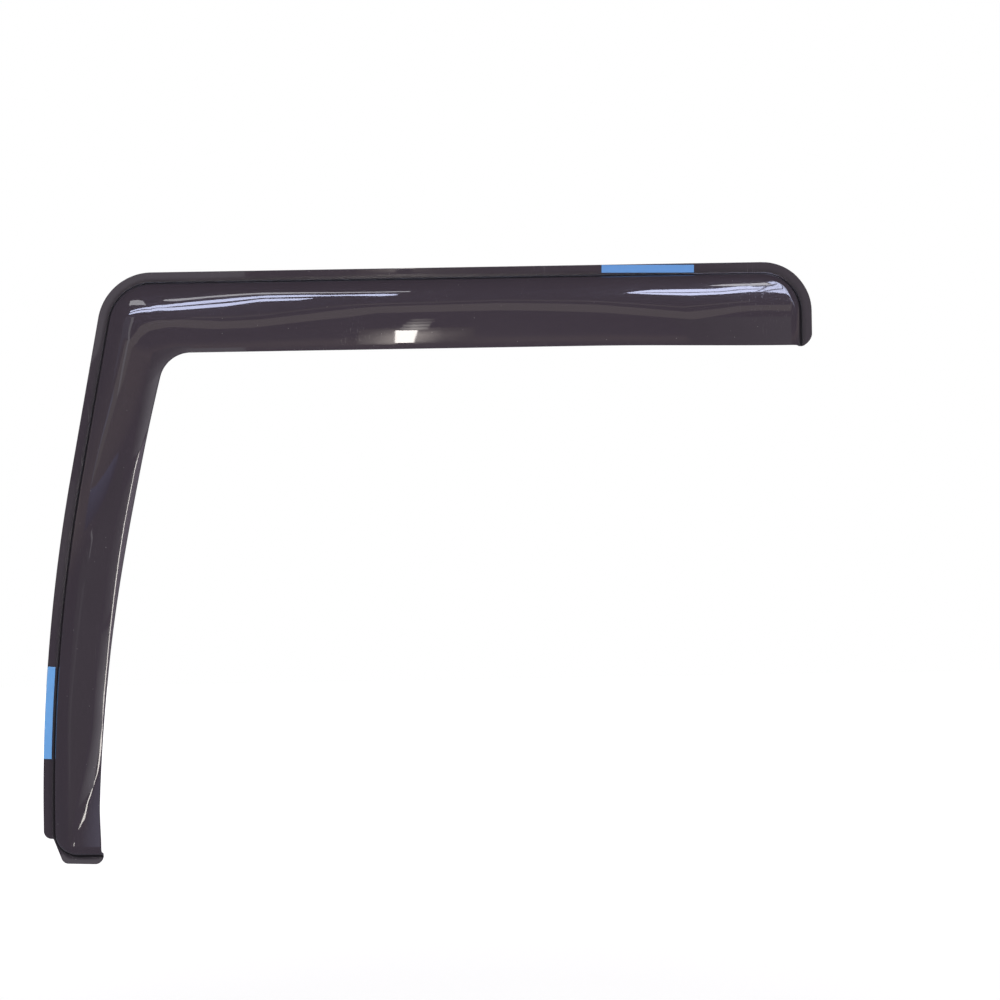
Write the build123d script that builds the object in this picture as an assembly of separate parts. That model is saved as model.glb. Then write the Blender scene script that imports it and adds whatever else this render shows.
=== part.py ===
from build123d import *
import os
from math import asin, atan2, cos, degrees, hypot, radians, sin, sqrt, tan

# Window rain deflector for a left-hand front door: one thermoformed smoked acrylic panel
# and two strips of adhesive foam tape, each still under its release film.
# X runs along the top edge, away from the front pillar, Z is up and -Y is the outside.
# The origin lies on the rear face of the top flange, at mid length and mid width.

# Sheet and its outer edge, in millimetres and degrees
panel_thickness = 3.0
flange_width = 12.0
top_length = 764.0
overall_drop = 640.5
front_lean = 10.8
front_straight = 227.0
front_foot_rise = 47.4
front_corner_radius = 56.0
end_corner_radius = 48.0
end_foot_radius = 11.0

# Free edge that stands off the glass
top_arm_depth = 89.0
front_arm_upper_width = 83.7
front_arm_lower_width = 64.0
free_bow_radius = 2388.0
free_corner_radius = 34.0

# Lower end, where the side flange stops and a lip carries on below the end wall
flange_stop = 28.5
flange_stop_radius = 8.5
lip_height = 9.5
lip_left_inset = 10.5
lip_rise = 1.5
lip_sliver = 1.6
lip_left_radius = 8.0
lip_right_radius = 9.0
notch_radius = 1.0
lower_crease_radius = 27.0

# Raised form, with rises taken from the front face of the flange
wall_draft = 12.0
shoulder_rise = 6.5
shoulder_reach_bend = 0.36
shoulder_reach_top = 0.26
shoulder_reach_rear = 0.38
shoulder_reach_low = 0.26
shoulder_ease_bend = 200.0
shoulder_ease_rear = 270.0
shoulder_ease_front = 0.4
crown_rise_top = 25.0
crown_rise_low = 22.0
crown_place_top = 1.0
crown_place_front = 0.88
crown_place_low = 0.38
crown_fullness = 0.75
edge_roll_radius = 70.0
dome_roll_radius = 120.0
dome_start = 0.66
dome_end = 0.96
ridge_radius = 10.0
crease_radius = 1.5

# Adhesive tape and its release film
tape_length = 100.0
tape_width = 8.4
tape_thickness = 0.8
film_thickness = 0.15
tape_edge_gap = 0.4
top_tape_place = 205.0
top_tape_turn = -0.8
front_tape_drop = 475.0

# Allowances of the forming and trimming tools
overrun = 25.0
tool_depth = 4.0
tool_reach = 60.0
bend_lead = 15.0
top_sections = 9
front_sections = 5
dome_sections = 4

lean_sin = sin(radians(front_lean))
lean_cos = cos(radians(front_lean))
draft_tan = tan(radians(wall_draft))
draft_cos = cos(radians(wall_draft))
half_length = top_length / 2
top_z = flange_width / 2
free_z = top_z - top_arm_depth
lip_z = top_z - overall_drop
front_bow_drop = overall_drop - front_straight * lean_cos - front_foot_rise
front_bow_radius = front_bow_drop / lean_sin


def front_points(inset):
    """Front edge moved inwards by inset: its top corner, and the start and foot of its bow."""
    bow = front_bow_radius - inset
    start_x = -half_length - front_straight * lean_sin + inset * lean_cos
    start_z = top_z - front_straight * lean_cos - inset * lean_sin
    corner_z = top_z - inset
    corner = (start_x + (corner_z - start_z) * lean_sin / lean_cos, corner_z)
    foot = (start_x - bow * (1 - lean_cos), start_z - bow * lean_sin)
    return corner, (start_x, start_z), foot


front_foot_x = front_points(0)[2][0]
free_corner = (front_arm_upper_width - half_length - top_arm_depth * lean_sin / lean_cos, free_z)
lip_right = (front_foot_x + front_arm_lower_width, lip_z)


def round_corners(face, rounds):
    """Round the corners of a flat outline that lie nearest to the given points."""
    for point, radius in rounds:
        face = fillet(face.vertices().sort_by_distance(point)[0], radius)
    return face


def trim_outline():
    """Cut edge of the formed sheet, seen from outside."""
    corner, start, foot = front_points(0)
    end_top = (half_length, top_z)
    end_foot = (half_length, free_z)
    stop_z = lip_z + flange_stop
    stop_outer = (foot[0], stop_z)
    stop_width = flange_width - lip_sliver
    notch = (foot[0] + stop_width, stop_z)
    lip_left = (notch[0] + lip_left_inset, lip_z + lip_rise)
    face = make_face([
        Line(corner, end_top),
        Line(end_top, end_foot),
        Line(end_foot, free_corner),
        RadiusArc(free_corner, lip_right, -free_bow_radius),
        Line(lip_right, lip_left),
        Line(lip_left, notch),
        Line(notch, stop_outer),
        Line(stop_outer, foot),
        RadiusArc(foot, start, front_bow_radius),
        Line(start, corner),
    ])
    return round_corners(face, [
        (corner, front_corner_radius),
        (end_top, end_corner_radius),
        (end_foot, min(end_foot_radius, 0.95 * flange_width)),
        (free_corner, free_corner_radius),
        (lip_right, lip_right_radius),
        (lip_left, lip_left_radius),
        (notch, notch_radius),
        (stop_outer, min(flange_stop_radius, 0.8 * stop_width)),
    ])


def wall_outline(inset):
    """Foot of the raised form's wall, closed well past the free edge."""
    corner, start, foot = front_points(inset)
    end_x = half_length - inset
    base_z = lip_z + lip_height + inset - flange_width
    inner_z = free_z - overrun
    end_top = (end_x, corner[1])
    end_inner = (end_x, inner_z)
    bend_inner = (free_corner[0] + overrun, inner_z)
    lower_inner = (lip_right[0] + overrun, base_z)
    lower = (foot[0], base_z)
    face = make_face([
        Line(corner, end_top),
        Line(end_top, end_inner),
        Line(end_inner, bend_inner),
        Line(bend_inner, lower_inner),
        Line(lower_inner, lower),
        Line(lower, foot),
        RadiusArc(foot, start, front_bow_radius - inset),
        Line(start, corner),
    ])
    return round_corners(face, [
        (corner, front_corner_radius - inset),
        (end_top, end_corner_radius - inset),
        (lower, lower_crease_radius - inset + flange_width),
    ])


def ease(share):
    """Smooth passage from 0 to 1, level at both ends."""
    share = min(max(share, 0), 1)
    return share * share * (3 - 2 * share)


def top_shoulder(x, bend_x):
    """Shoulder's reach along the top arm, wider towards the bend and the rear end."""
    rear_x = half_length - end_corner_radius
    bend_part = 1 - ease((x - bend_x) / shoulder_ease_bend)
    rear_part = 1 - ease((rear_x - x) / shoulder_ease_rear)
    widening = bend_part * (shoulder_reach_bend - shoulder_reach_top)
    widening += rear_part * (shoulder_reach_rear - shoulder_reach_top)
    return shoulder_reach_top + widening


def front_shoulder(share):
    """Shoulder's reach down the front arm, narrower below the bend."""
    narrowing = ease(share / shoulder_ease_front)
    return shoulder_reach_bend + narrowing * (shoulder_reach_low - shoulder_reach_bend)


def section_places():
    """Where the roof's sections stand: top arm with its rear end, bend and front arm.

    Each place is a point on the crease, the free-edge point across from it, how far down
    the front arm it lies, from 0 at the bend to 1 past the lip, and its shoulder's reach.
    """
    corner, start, foot = front_points(flange_width)
    crease_bend_radius = front_corner_radius - flange_width
    crease_centre_x = corner[0] + crease_bend_radius * (1 - lean_sin) / lean_cos
    crease_centre = (crease_centre_x, corner[1] - crease_bend_radius)
    free_slope = RadiusArc(free_corner, lip_right, -free_bow_radius) % 0
    free_lean = atan2(-free_slope.X, -free_slope.Y)
    free_centre_x = free_corner[0] + free_corner_radius * (1 - sin(free_lean)) / cos(free_lean)
    free_centre = (free_centre_x, free_z - free_corner_radius)
    past_end = half_length + overrun
    past_lip = lip_z - overrun

    crease_top = Line((past_end, corner[1]), (crease_centre_x, corner[1]))
    free_top = Line((past_end, free_z), (free_centre_x, free_z))
    crease_bend = CenterArc(crease_centre, crease_bend_radius, 90, 90 - front_lean)
    free_bend = CenterArc(free_centre, free_corner_radius, 90, 90 - degrees(free_lean))
    crease_front = Wire([
        Line(crease_bend @ 1, start),
        RadiusArc(start, foot, flange_width - front_bow_radius),
        Line(foot, (foot[0], past_lip)),
    ])
    free_front = Wire([
        RadiusArc(free_bend @ 1, lip_right, -free_bow_radius),
        Line(lip_right, (lip_right[0], past_lip)),
    ])

    end_share = (overrun + end_corner_radius + bend_lead) / crease_top.length
    top_step = bend_lead / crease_top.length
    front_step = bend_lead / crease_front.length
    top_end = 1 - 2 * top_step
    top_gap = (top_end - end_share) / (top_sections - 1)
    front_start = 2 * front_step
    front_gap = (dome_start - front_start) / front_sections
    dome_gap = (1 - dome_start) / dome_sections
    front_shares = [front_start + front_gap * k for k in range(front_sections)]
    front_shares += [dome_start + dome_gap * k for k in range(dome_sections + 1)]

    def on_top(p):
        crease = crease_top @ p
        return crease, free_top @ p, 0, top_shoulder(crease.X, crease_centre_x)

    def on_front(p):
        return crease_front @ p, free_front @ p, p, front_shoulder(p)

    top_arm = [on_top(0)]
    top_arm += [on_top(end_share + top_gap * k) for k in range(top_sections)]
    bend = [on_top(p) for p in (top_end, 1 - top_step)]
    bend += [(crease_bend @ p, free_bend @ p, 0, shoulder_reach_bend) for p in (0, 0.25, 0.5, 0.75)]
    bend += [on_front(p) for p in (0, front_step, front_start)]
    front_arm = [on_front(p) for p in front_shares]
    return top_arm, bend, front_arm


def roof_section(crease, free, share, shoulder_reach, depth):
    """Area under the visor's skin between crease and free edge, with the skin sunk by depth.

    The skin leaves the shoulder on a slope, follows a conic up to its crown, and rolls over
    gently towards the free edge. Near the lip the crown moves inwards, which makes a dome.
    """
    reach = hypot(free.X - crease.X, free.Y - crease.Y)
    shoulder = panel_thickness + shoulder_rise
    crown = panel_thickness + crown_rise_top + share * (crown_rise_low - crown_rise_top)
    dome = ease((share - dome_start) / (dome_end - dome_start))
    crown_place = crown_place_top + ease(share / dome_start) * (crown_place_front - crown_place_top)
    crown_place += dome * (crown_place_low - crown_place_front)
    roll_radius = edge_roll_radius + dome * (dome_roll_radius - edge_roll_radius)
    rise_run = shoulder_reach * reach
    slope = atan2(crown - shoulder, rise_run)
    first = (depth * sin(slope), shoulder - depth * cos(slope))
    skirt = (first[0] - shoulder / tan(slope), first[1] - shoulder)
    knee = (rise_run + depth * tan(slope / 2), crown - depth)
    apex = (crown_place * reach, crown - depth)
    end_x = reach + overrun / 2
    roll_run = min(end_x - apex[0], 0.95 * roll_radius)
    roll_end = (apex[0] + roll_run, apex[1] - roll_radius + sqrt(roll_radius**2 - roll_run**2))
    skirt_foot = (skirt[0], -panel_thickness - tool_depth)
    roll_foot = (roll_end[0], skirt_foot[1])
    plane = Plane(
        origin=(crease.X, 0, crease.Y),
        x_dir=(free.X - crease.X, 0, free.Y - crease.Y),
        z_dir=(free.Y - crease.Y, 0, crease.X - free.X),
    )
    return plane * make_face([
        Line(skirt_foot, skirt),
        Line(skirt, first),
        Bezier(first, knee, apex, weights=[1, crown_fullness, 1]),
        TangentArc(apex, roll_end, tangent=(1, 0)),
        Line(roll_end, roll_foot),
        Line(roll_foot, skirt_foot),
    ])


def raised_form(inset, depth, base, radius):
    """Solid under the visor: a drafted wall cut off by the roof, its ridge rounded."""
    outline = Plane.XZ.offset(base) * wall_outline(inset)
    walls = extrude(outline, tool_reach, taper=wall_draft)
    wall_foot = outline.wires()[0]
    ridge_band = (panel_thickness + crown_rise_top - base) * draft_tan + 1
    ridge_floor = base + (panel_thickness + shoulder_rise - depth - base) / 2

    def on_ridge(edge):
        middle = edge @ 0.5
        below = Vector(middle.X, -base, middle.Z)
        lowest = min(-(edge @ 0).Y, -(edge @ 1).Y)
        return lowest > ridge_floor and wall_foot.distance_to(below) < ridge_band

    form = Part()
    for span in section_places():
        piece = walls & loft([roof_section(*place, depth) for place in span])
        form += fillet(piece.edges().filter_by(on_ridge), radius)
    return form


def visor_panel():
    """Formed sheet: flange and raised visor at one thickness, trimmed to its outline."""
    plate = extrude(Plane.XZ * trim_outline(), panel_thickness)
    trim = extrude(Plane.XZ * trim_outline(), tool_reach)
    outside = raised_form(flange_width, 0, panel_thickness, ridge_radius)
    inner_shift = panel_thickness / draft_cos - (panel_thickness + tool_depth) * draft_tan
    inside = raised_form(
        flange_width + inner_shift,
        panel_thickness,
        -tool_depth,
        ridge_radius - panel_thickness,
    )
    sheet = plate + (outside & trim) - inside
    front_foot = (Plane.XZ.offset(panel_thickness) * wall_outline(flange_width)).wires()[0]
    rear_inset = flange_width + inner_shift + tool_depth * draft_tan
    rear_foot = (Plane.XZ * wall_outline(rear_inset)).wires()[0]
    for foot, radius in ((front_foot, crease_radius), (rear_foot, crease_radius + panel_thickness)):
        crease = [edge for edge in sheet.edges() if foot.distance_to(edge @ 0.5) < 0.01]
        sheet = fillet(crease, radius)
    return sheet


def strip(outline, base, thickness):
    """Flat strip of an outline, lying at a height above the flange's rear face."""
    return extrude(Plane.XZ.offset(base) * outline, thickness)


def top_strip_outline():
    """Tape on the top flange, laid on by hand with a slight turn."""
    turn_drop = tape_length / 2 * sin(radians(abs(top_tape_turn)))
    middle_z = top_z - tape_edge_gap - turn_drop - tape_width / 2
    return Pos(top_tape_place, middle_z) * Rot(0, 0, top_tape_turn) * Rectangle(tape_length, tape_width)


def front_strip_outline():
    """Tape on the front flange, bent along its bow."""
    start = front_points(0)[1]
    centre = (start[0] + front_bow_radius * lean_cos, start[1] - front_bow_radius * lean_sin)
    middle_turn = degrees(asin((top_z - front_tape_drop - centre[1]) / front_bow_radius))
    span = degrees(tape_length / front_bow_radius)
    first_turn = 180 - middle_turn - span / 2
    outer = CenterArc(centre, front_bow_radius - tape_edge_gap, first_turn, span)
    inner = CenterArc(centre, front_bow_radius - tape_edge_gap - tape_width, first_turn, span)
    return make_face([outer, Line(outer @ 1, inner @ 1), inner, Line(inner @ 0, outer @ 0)])


os.makedirs("parts", exist_ok=True)
export_step(visor_panel(), "parts/visor_panel.step")
film_base = panel_thickness + tape_thickness
for place, outline in (("top", top_strip_outline()), ("front", front_strip_outline())):
    export_step(strip(outline, panel_thickness, tape_thickness), f"parts/{place}_tape.step")
    export_step(strip(outline, film_base, film_thickness), f"parts/{place}_tape_film.step")
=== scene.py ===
from math import atan2, cos, pi, radians, sin, tan
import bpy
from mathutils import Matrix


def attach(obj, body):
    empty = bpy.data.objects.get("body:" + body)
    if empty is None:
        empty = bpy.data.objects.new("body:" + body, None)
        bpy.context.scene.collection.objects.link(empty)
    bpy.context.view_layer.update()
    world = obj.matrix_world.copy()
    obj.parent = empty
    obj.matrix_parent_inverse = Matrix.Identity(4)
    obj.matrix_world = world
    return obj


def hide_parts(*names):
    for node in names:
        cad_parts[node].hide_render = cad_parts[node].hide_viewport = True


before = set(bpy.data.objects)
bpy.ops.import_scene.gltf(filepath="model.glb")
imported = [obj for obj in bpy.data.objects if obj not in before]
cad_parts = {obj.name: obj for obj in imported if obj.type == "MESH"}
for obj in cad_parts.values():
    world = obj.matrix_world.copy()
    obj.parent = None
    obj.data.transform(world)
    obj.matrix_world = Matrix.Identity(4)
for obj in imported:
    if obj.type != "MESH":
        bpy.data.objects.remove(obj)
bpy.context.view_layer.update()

from types import SimpleNamespace

import bpy
import numpy as np
from bpy.props import FloatProperty, FloatVectorProperty, PointerProperty
from bpy.types import Operator, Panel, PropertyGroup
from mathutils import Vector

bl_info = {
    "name": "Window rain deflector",
    "version": (1, 0, 0),
    "blender": (4, 5, 0),
    "location": "View3D > Sidebar > Deflector",
    "description": "Builds a smoked acrylic window deflector with its tape strips and studio",
    "category": "Object",
}

DAY = (0.68, 0.73, 1.0)
PALE = (0.95, 0.95, 1.0)
WARM = (1.0, 0.95, 0.90)
BROWN = (1.0, 0.91, 0.84)


def length(name, description, default):
    """Length property in metres."""
    return FloatProperty(
        name=name, description=description, default=default, unit="LENGTH", precision=5,
    )


def factor(name, description, default):
    """Plain factor between nought and one."""
    return FloatProperty(name=name, description=description, default=default, min=0.0, max=1.0)


def angle(name, description, degrees):
    """Angle property, stored in radians."""
    return FloatProperty(name=name, description=description, default=radians(degrees), subtype="ANGLE")


def colour(name, description, default):
    """Linear colour property."""
    return FloatVectorProperty(
        name=name, description=description, default=default, subtype="COLOR", min=0, max=1,
    )


class DeflectorSizes(PropertyGroup):
    """Sizes of the formed sheet and of the tape strips."""

    sheet: length("Sheet", "Thickness of the acrylic sheet", 0.003)
    flange: length("Flange", "Width of the flat flange that enters the window channel", 0.012)
    top_length: length("Top length", "Length of the top edge before the front corner", 0.764)
    drop: length("Drop", "Height from the top edge to the foot of the lip", 0.6405)
    lean: angle("Lean", "Lean of the straight part of the front edge", 10.8)
    straight: length("Front straight", "Straight run of the front edge below the top corner", 0.227)
    foot_rise: length("Foot rise", "Height of the end of the front bow above the lip", 0.0474)
    front_corner: length("Front corner", "Outer radius between top and front edge", 0.0593)
    end_corner: length("End corner", "Outer radius at the rear end", 0.0535)
    end_foot: length("End foot", "Outer radius where the rear end meets the free edge", 0.011)
    top_depth: length("Top depth", "Depth of the top arm", 0.089)
    upper_width: length("Upper width", "Width of the front arm at the bend", 0.0837)
    lower_width: length("Lower width", "Width of the front arm at the lip", 0.064)
    free_bow: length("Free bow", "Bow radius of the front arm's free edge", 2.388)
    free_corner: length("Free corner", "Radius of the free edge at the bend", 0.034)
    stop: length("Flange stop", "Height of the side flange's end above the lip", 0.0285)
    stop_corner: length("Stop corner", "Corner radius of the side flange's end", 0.0085)
    lip_height: length("Lip height", "Height of the lip below the end wall", 0.0095)
    lip_inset: length("Lip inset", "Step from the notch to the lip's left corner", 0.0105)
    lip_rise: length("Lip rise", "Rise of the lip's left corner", 0.0015)
    lip_sliver: length("Lip sliver", "Flange left beside the crease at the notch", 0.0016)
    lip_left: length("Lip left corner", "Corner radius of the lip, front side", 0.008)
    lip_right: length("Lip right corner", "Corner radius of the lip, free side", 0.009)
    notch: length("Notch", "Inner radius of the notch", 0.001)
    lower_crease: length("Lower crease", "Crease radius at the lower end", 0.027)
    draft: angle("Draft", "Draft of the wall", 12.0)
    shoulder: length("Shoulder", "Height of the shoulder above the flange", 0.0065)
    reach_bend: factor("Shoulder reach, bend", "Share of the depth at which the shoulder's slope ends", 0.36)
    reach_top: factor("Shoulder reach, top arm", "The same at the middle of the top arm", 0.26)
    reach_rear: factor("Shoulder reach, rear end", "The same at the rear end", 0.38)
    reach_low: factor("Shoulder reach, lower end", "The same down the front arm", 0.26)
    ease_bend: length("Ease from bend", "Run in which the shoulder narrows from the bend", 0.200)
    ease_rear: length("Ease from rear", "Run in which the shoulder narrows from the rear end", 0.270)
    ease_front: factor("Ease down front", "Share of the front arm in which the shoulder narrows", 0.4)
    crown_top: length("Crown, top arm", "Height of the crown above the flange", 0.025)
    crown_low: length("Crown, lower end", "Height of the crown above the flange", 0.022)
    place_top: factor("Crown place, top arm", "Place of the crown as a share of the depth", 1.0)
    place_front: factor("Crown place, front arm", "Place of the crown as a share of the depth", 0.88)
    place_low: factor("Crown place, lower end", "Place of the crown as a share of the depth", 0.38)
    place_ease: factor("Crown ease", "Share of the front arm in which the crown moves in from the edge", 0.2)
    dome_start: factor("Dome start", "Share of the front arm at which the lower end begins to dome", 0.66)
    dome_end: factor("Dome end", "Share of the front arm at which the dome is complete", 0.96)
    fullness: factor("Fullness", "Weight of the conic between shoulder and crown", 0.75)
    roll: length("Edge roll", "Radius of the roll towards the free edge", 0.070)
    dome_roll: length("Dome roll", "Radius of the roll at the domed lower end", 0.120)
    rear_sag: length("Rear sag", "Sag of the top arm's free edge at the rear end", 0.0028)
    sag_run: length("Sag run", "Run in which the free edge sags", 0.230)
    waist: length("Waist", "Draw-in of the front arm's free edge above the lip", 0.0027)
    ridge: length("Ridge", "Radius between wall and crowned face", 0.010)
    crease: length("Crease", "Radius between flange and wall", 0.0015)
    edge: length("Cut edge", "Rounding of the polished cut edge", 0.0004)
    tape_length: length("Tape length", "Length of each tape strip", 0.100)
    tape_width: length("Tape width", "Width of each tape strip", 0.0084)
    tape: length("Tape", "Thickness of the foam", 0.0008)
    film: length("Film", "Thickness of the release film", 0.00015)
    tape_gap: length("Tape gap", "Distance of the tape from the cut edge", 0.0004)
    tape_place: length("Top tape place", "Place of the top strip along the flange", 0.205)
    tape_turn: angle("Top tape turn", "Slight turn of the top strip, laid on by hand", -0.8)
    tape_drop: length("Front tape drop", "Place of the front strip below the top edge", 0.475)


class DeflectorLooks(PropertyGroup):
    """Colours of the pieces."""

    smoke: colour("Smoked acrylic", "Body colour of the sheet", (0.0406, 0.0315, 0.0418))
    foam: colour("Foam tape", "Colour of the foam's cut edge", (0.030, 0.031, 0.036))
    film: colour("Top film", "Colour of the top strip's release film", (0.088, 0.268, 0.625))
    # Painted light: the same film as the top strip, painted paler for the front strip
    film_painted_lighter: colour("Front film", "Colour of the front strip's paler release film", (0.130, 0.374, 0.778))
    floor: colour("Floor", "Colour of the floor", (0.90, 0.90, 0.90))


class DeflectorStage(PropertyGroup):
    """Camera and room."""

    camera_x: length("Camera X", "Camera place along the top edge", 0.0408)
    camera_y: length("Camera Y", "Camera place in front of the flange", -2.803)
    camera_z: length("Camera Z", "Camera height", -0.247)
    roll: angle("Camera roll", "Roll of the camera about its view", 0.97)
    lens: FloatProperty(name="Lens", description="Focal length on a 36 mm sensor", default=93.04)
    floor_z: length("Floor", "Height of the floor", -0.86)


def visor_plan(size):
    """Plan of the formed sheet in the XZ plane: named points, arc centres and radii, in metres."""
    p = SimpleNamespace(size=size)
    p.lean_sin = sin(size.lean)
    p.lean_cos = cos(size.lean)
    p.draft_tan = tan(size.draft)
    p.half = size.top_length / 2
    p.top_z = size.flange / 2
    p.free_z = p.top_z - size.top_depth
    p.lip_z = p.top_z - size.drop
    p.bow = (size.drop - size.straight * p.lean_cos - size.foot_rise) / p.lean_sin
    p.bow_centre = np.array((
        -p.half - size.straight * p.lean_sin + p.bow * p.lean_cos,
        p.top_z - size.straight * p.lean_cos - p.bow * p.lean_sin,
    ))
    p.foot_x = p.bow_centre[0] - p.bow
    p.end_centre = np.array((p.half - size.end_corner, p.top_z - size.end_corner))
    corner_x = -p.half + size.flange * (1 - p.lean_sin) / p.lean_cos
    crease_bend = size.front_corner - size.flange
    p.bend_centre = np.array((
        corner_x + crease_bend * (1 - p.lean_sin) / p.lean_cos,
        p.top_z - size.front_corner,
    ))
    p.low_z = p.lip_z + size.lip_height
    p.low_centre = np.array((p.foot_x + size.flange + size.lower_crease, p.low_z + size.lower_crease))

    # Free edge of the front arm: a circle through the virtual corner and the lip's right end
    first = np.array((size.upper_width - p.half - size.top_depth * tan(size.lean), p.free_z))
    last = np.array((p.foot_x + size.lower_width, p.lip_z))
    p.lip_right = last
    chord = last - first
    half_chord = np.hypot(*chord) / 2
    away = np.array((-chord[1], chord[0])) / (2 * half_chord)
    p.free_centre = (first + last) / 2 + away * np.sqrt(size.free_bow**2 - half_chord**2)
    bend_z = p.free_z - size.free_corner
    run = np.sqrt((size.free_bow - size.free_corner) ** 2 - (bend_z - p.free_centre[1]) ** 2)
    p.free_bend_centre = np.array((p.free_centre[0] - run, bend_z))
    toward = p.free_bend_centre - p.free_centre
    p.free_bend_angle = atan2(toward[1], toward[0])
    return p


def heading(angles):
    """Unit vectors of the plan: the cosine and sine of each angle."""
    return np.stack((np.cos(angles), np.sin(angles)), axis=-1)


def circle(centre, radius, angles):
    """Points of a circle: centre plus radius times the unit vector at each angle."""
    return centre + radius * heading(angles)


def level_points(x, z):
    """Points of the plan with their own x and one common z."""
    return np.stack((x, np.full_like(x, z)), axis=-1)


def left_normals(path):
    """Unit normals on the left of a path, square to its gradient."""
    slope = np.gradient(path, axis=0)
    slope /= np.hypot(*slope.T)[:, None]
    return np.stack((-slope[:, 1], slope[:, 0]), axis=-1)


def spaced(points, count):
    """Polyline laid out again with points evenly spaced along its length."""
    steps = np.hypot(*np.diff(points, axis=0).T)
    run = np.concatenate(([0.0], np.cumsum(steps)))
    places = np.linspace(0, run[-1], count)
    return np.stack([np.interp(places, run, column) for column in points.T], axis=-1)


def free_x(p, z, inset=0.0):
    """Free edge of the front arm at height z: its circle's left half, moved into the sheet by inset."""
    return p.free_centre[0] - np.sqrt((p.size.free_bow + inset) ** 2 - (z - p.free_centre[1]) ** 2)


def ease(share):
    """Smooth passage from nought to one, level at both ends."""
    share = np.clip(share, 0, 1)
    return share * share * (3 - 2 * share)


def cross_steps(rows):
    """Even steps from the rim to the free edge, with a narrow last row that holds the shading there."""
    return np.append(np.linspace(0, 0.994, rows), 1.0)


def section_lines(p):
    """Straight lines from crease to free edge that carry the crowned section.

    They run square across the top arm, fan round the bend between two arcs, and then join
    equal shares of the crease's and the free edge's length down the front arm. The shoulder
    is wide at the bend and the rear end and eases to a narrow one between them.
    """
    size = p.size
    over = 0.025
    top_count, bend_count, front_count = 80, 40, 300
    past_end = p.half + over
    past_lip = p.lip_z - over
    crease_z = p.top_z - size.flange
    free_end = p.free_bend_angle
    crease_end = pi - size.lean
    crease_top = level_points(np.linspace(past_end, p.bend_centre[0], top_count), crease_z)
    free_top = level_points(np.linspace(past_end, p.free_bend_centre[0], top_count), p.free_z)
    crease_turn = np.linspace(pi / 2, crease_end, bend_count)
    free_turn = np.linspace(pi / 2, free_end, bend_count)
    crease_bend = circle(p.bend_centre, size.front_corner - size.flange, crease_turn)
    free_bend = circle(p.free_bend_centre, size.free_corner, free_turn)
    bow = circle(p.bow_centre, p.bow - size.flange, np.linspace(crease_end, pi, front_count))
    crease_foot = [(p.foot_x + size.flange, past_lip)]
    crease_front = spaced(np.concatenate((crease_bend[-1:], bow, crease_foot)), front_count)
    lip_angle = np.arctan2(*(p.lip_right - p.free_centre)[::-1]) % (2 * pi)
    free_arc_turn = np.linspace(free_end % (2 * pi), lip_angle, front_count)
    free_arc = circle(p.free_centre, size.free_bow, free_arc_turn)
    free_front = spaced(np.concatenate((free_arc, [(p.lip_right[0], past_lip)])), front_count)
    crease = np.concatenate((crease_top, crease_bend[1:], crease_front[1:]))
    free = np.concatenate((free_top, free_bend[1:], free_front[1:]))
    front = np.linspace(0, 1, front_count)[1:]
    down = np.concatenate((np.zeros(top_count + bend_count - 1), front))
    toward_bend = 1 - ease((crease_top[:, 0] - p.bend_centre[0]) / size.ease_bend)
    toward_rear = 1 - ease((p.end_centre[0] - crease_top[:, 0]) / size.ease_rear)
    shoulder = np.concatenate((
        size.reach_top
        + toward_bend * (size.reach_bend - size.reach_top)
        + toward_rear * (size.reach_rear - size.reach_top),
        np.full(bend_count - 1, size.reach_bend),
        size.reach_bend + ease(front / size.ease_front) * (size.reach_low - size.reach_bend),
    ))
    return crease, free, down, shoulder


def crown_height(size, w, reach, down, shoulder):
    """Height of the crowned section at distance w from the crease, above the flange's rear face.

    A rational quadratic through shoulder, knee and crown is solved for its parameter at w;
    past the crown the section falls on a circle of the roll's radius, wider in the dome.
    """
    start = size.sheet + size.shoulder
    crown = size.sheet + size.crown_top + down * (size.crown_low - size.crown_top)
    place = size.place_top + ease(down / size.place_ease) * (size.place_front - size.place_top)
    dome = ease((down - size.dome_start) / (size.dome_end - size.dome_start))
    place = place + dome * (size.place_low - size.place_front)
    knee = shoulder * reach
    apex = place * reach
    inner = np.clip(w, 0, apex)
    f = size.fullness
    a = 2 * (1 - f) * inner + 2 * f * knee - apex
    b = 2 * (1 - f) * inner + 2 * f * knee
    t = 2 * inner / (b + np.sqrt(np.maximum(b * b - 4 * a * inner, 0)))
    weight = 1 - 2 * (1 - f) * t * (1 - t)
    rise = (start * (1 - t) ** 2 + 2 * f * crown * t * (1 - t) + crown * t * t) / weight
    past = np.maximum(w - apex, 0)
    roll = size.roll + dome * (size.dome_roll - size.roll)
    return rise - (roll - np.sqrt(roll**2 - past**2))


def roof_height(p, lines, places):
    """Height of the crowned face over any array of plan points.

    The section line through a point is found by halving, from the sign of the cross
    product between the line and the point, and the section is read at the distance along it.
    """
    crease, free, down, shoulder = lines
    x, z = places[..., 0], places[..., 1]
    index = np.arange(len(crease), dtype=float)
    low = np.zeros_like(x)
    high = np.full_like(x, index[-1])
    for _ in range(30):
        middle = (low + high) / 2
        cx, cz = (np.interp(middle, index, column) for column in crease.T)
        fx, fz = (np.interp(middle, index, column) for column in free.T)
        before = (fx - cx) * (z - cz) - (fz - cz) * (x - cx) < 0
        low = np.where(before, middle, low)
        high = np.where(before, high, middle)
    reach = np.hypot(fx - cx, fz - cz)
    w = ((x - cx) * (fx - cx) + (z - cz) * (fz - cz)) / reach
    share_down = np.interp(middle, index, down)
    return crown_height(p.size, w, reach, share_down, np.interp(middle, index, shoulder))


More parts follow.
